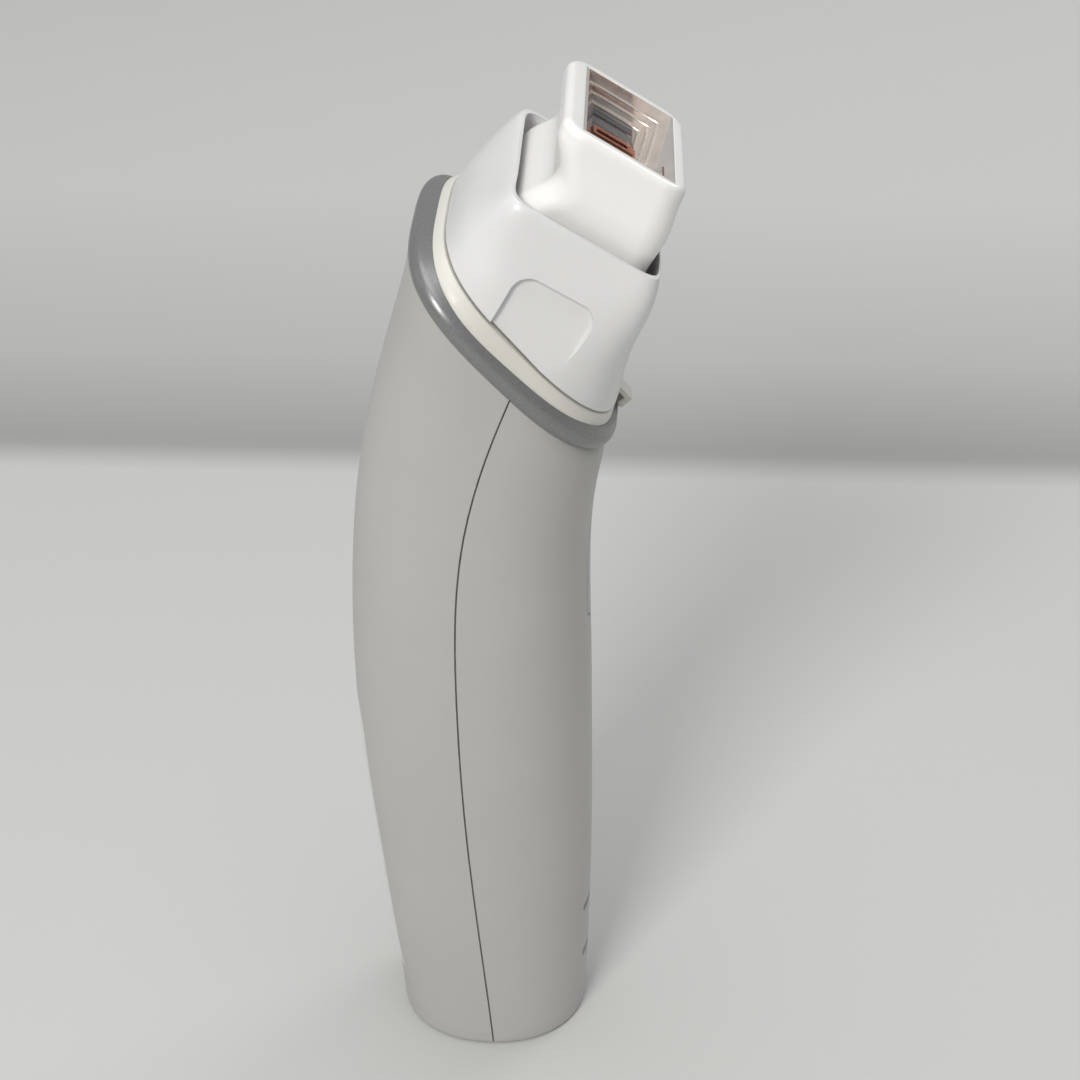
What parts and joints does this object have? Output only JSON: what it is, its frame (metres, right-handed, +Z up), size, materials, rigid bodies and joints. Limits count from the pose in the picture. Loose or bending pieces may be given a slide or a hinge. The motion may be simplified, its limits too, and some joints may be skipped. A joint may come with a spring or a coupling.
{
  "type": "pulsed light hair removal handset",
  "caption": "Curved handheld light handset with a tilted grey neck ring, pull-off attachment collar and a sprung contact head around a light window.",
  "frame": {"origin": "centre of the base, on the surface the handset stands on", "axes": "+Z up along the handle, +X towards the concave front that the head leans to, +Y to the left seen from the front"},
  "size_m": [0.0573, 0.0516, 0.1949],
  "materials": {
    "body_plastic": "fine matte, warm light grey-white",
    "seat_plastic": "matte, warm off-white",
    "ring_finish": "satin grey band",
    "collar_plastic": "pearly white, half gloss",
    "head_plastic": "glossy warm white",
    "key_plastic": "satin grey key",
    "mirror_skin": "vacuum-coated mirror",
    "filter": "dark grey filter glass",
    "clear": "clear glass",
    "copper": "copper-coloured bridge",
    "contact_metal": "gold-plated contact",
    "steel": "zinc-plated steel",
    "spring_steel": "drawn wire",
    "aluminium": "bare aluminium",
    "black_plastic": "black, matte",
    "grey_plastic": "dark grey, matte",
    "board": "green board",
    "rubber": "matt black",
    "lead_insulation": "red lead insulation",
    "light_plastic": "clear light guide",
    "lamp_chip": "white lamp",
    "ferrite": "dark ferrite",
    "winding": "enamelled copper wire with tape",
    "blue_sleeve": "shrink sleeve"
  },
  "bodies": {
    "handle": {"front_shell": "body_plastic", "rear_shell": "body_plastic", "base_plate": "body_plastic", "rear_panel": "collar_plastic", "neck_ring": "ring_finish", "neck_platform": "seat_plastic", "contact_pins": "contact_metal", "lamp_window": "clear", "window_seal": "rubber", "optics_bracket": "grey_plastic", "optics_screws": "steel", "lamp_reflector": "mirror_skin", "flash_tube": "clear", "lamp_end_caps": "steel", "lamp_holders": "grey_plastic", "heat_sink": "aluminium", "flash_switch": "black_plastic", "flash_button_spring": "spring_steel", "power_switch": "black_plastic", "power_button_spring": "spring_steel", "control_board": "board", "light_guides": "light_plastic", "status_leds": "lamp_chip", "main_board": "board", "chassis": "grey_plastic", "flash_capacitor": "blue_sleeve", "capacitor_clip": "black_plastic", "transformer_core": "ferrite", "transformer_winding": "winding", "trigger_coil": "black_plastic", "lamp_leads": "lead_insulation", "inlet_leads": "lead_insulation", "fan_housing": "black_plastic", "fan_bearing": "contact_metal", "dc_socket": "black_plastic", "dc_pin": "contact_metal", "base_screws": "steel", "vent_screen": "black_plastic"},
    "attachment": {"attachment_collar": "collar_plastic", "attachment_frame": "collar_plastic", "light_duct": "mirror_skin", "release_tab": "seat_plastic", "contact_pads": "contact_metal", "head_springs": "spring_steel"},
    "head": {"contact_head": "head_plastic", "head_reflector": "mirror_skin", "filter_glass": "filter", "filter_frame": "black_plastic", "filter_clips": "copper"},
    "flash_key": {"flash_button": "key_plastic", "flash_plunger": "grey_plastic"},
    "power_key": {"power_button": "key_plastic", "power_plunger": "grey_plastic"},
    "fan": {"fan_rotor": "black_plastic", "fan_pin": "steel"}
  },
  "joints": [
    {"name": "attachment_pull", "type": "slide", "parent": "handle", "child": "attachment", "axis": [0.7581, 0, 0.6521], "range_m": [0, 0.03]},
    {"name": "head_press", "type": "slide", "parent": "attachment", "child": "head", "axis": [-0.5151, 0, -0.8571], "range_m": [0, 0.0012], "stiffness_N_per_m": 900, "springref_m": -0.0005, "deforming": ["head_springs"]},
    {"name": "flash_press", "type": "slide", "parent": "handle", "child": "flash_key", "axis": [-1, 0, 0], "range_m": [0, 0.0008], "stiffness_N_per_m": 500, "springref_m": -0.0006, "deforming": ["flash_button_spring"]},
    {"name": "power_press", "type": "slide", "parent": "handle", "child": "power_key", "axis": [1, 0, 0], "range_m": [0, 0.0008], "stiffness_N_per_m": 500, "springref_m": -0.0006, "deforming": ["power_button_spring"]},
    {"name": "fan_spin", "type": "hinge", "parent": "handle", "child": "fan", "pos_m": [-0.0015, 0, 0.024], "axis": [0, 0, 1], "continuous": true}
  ]
}
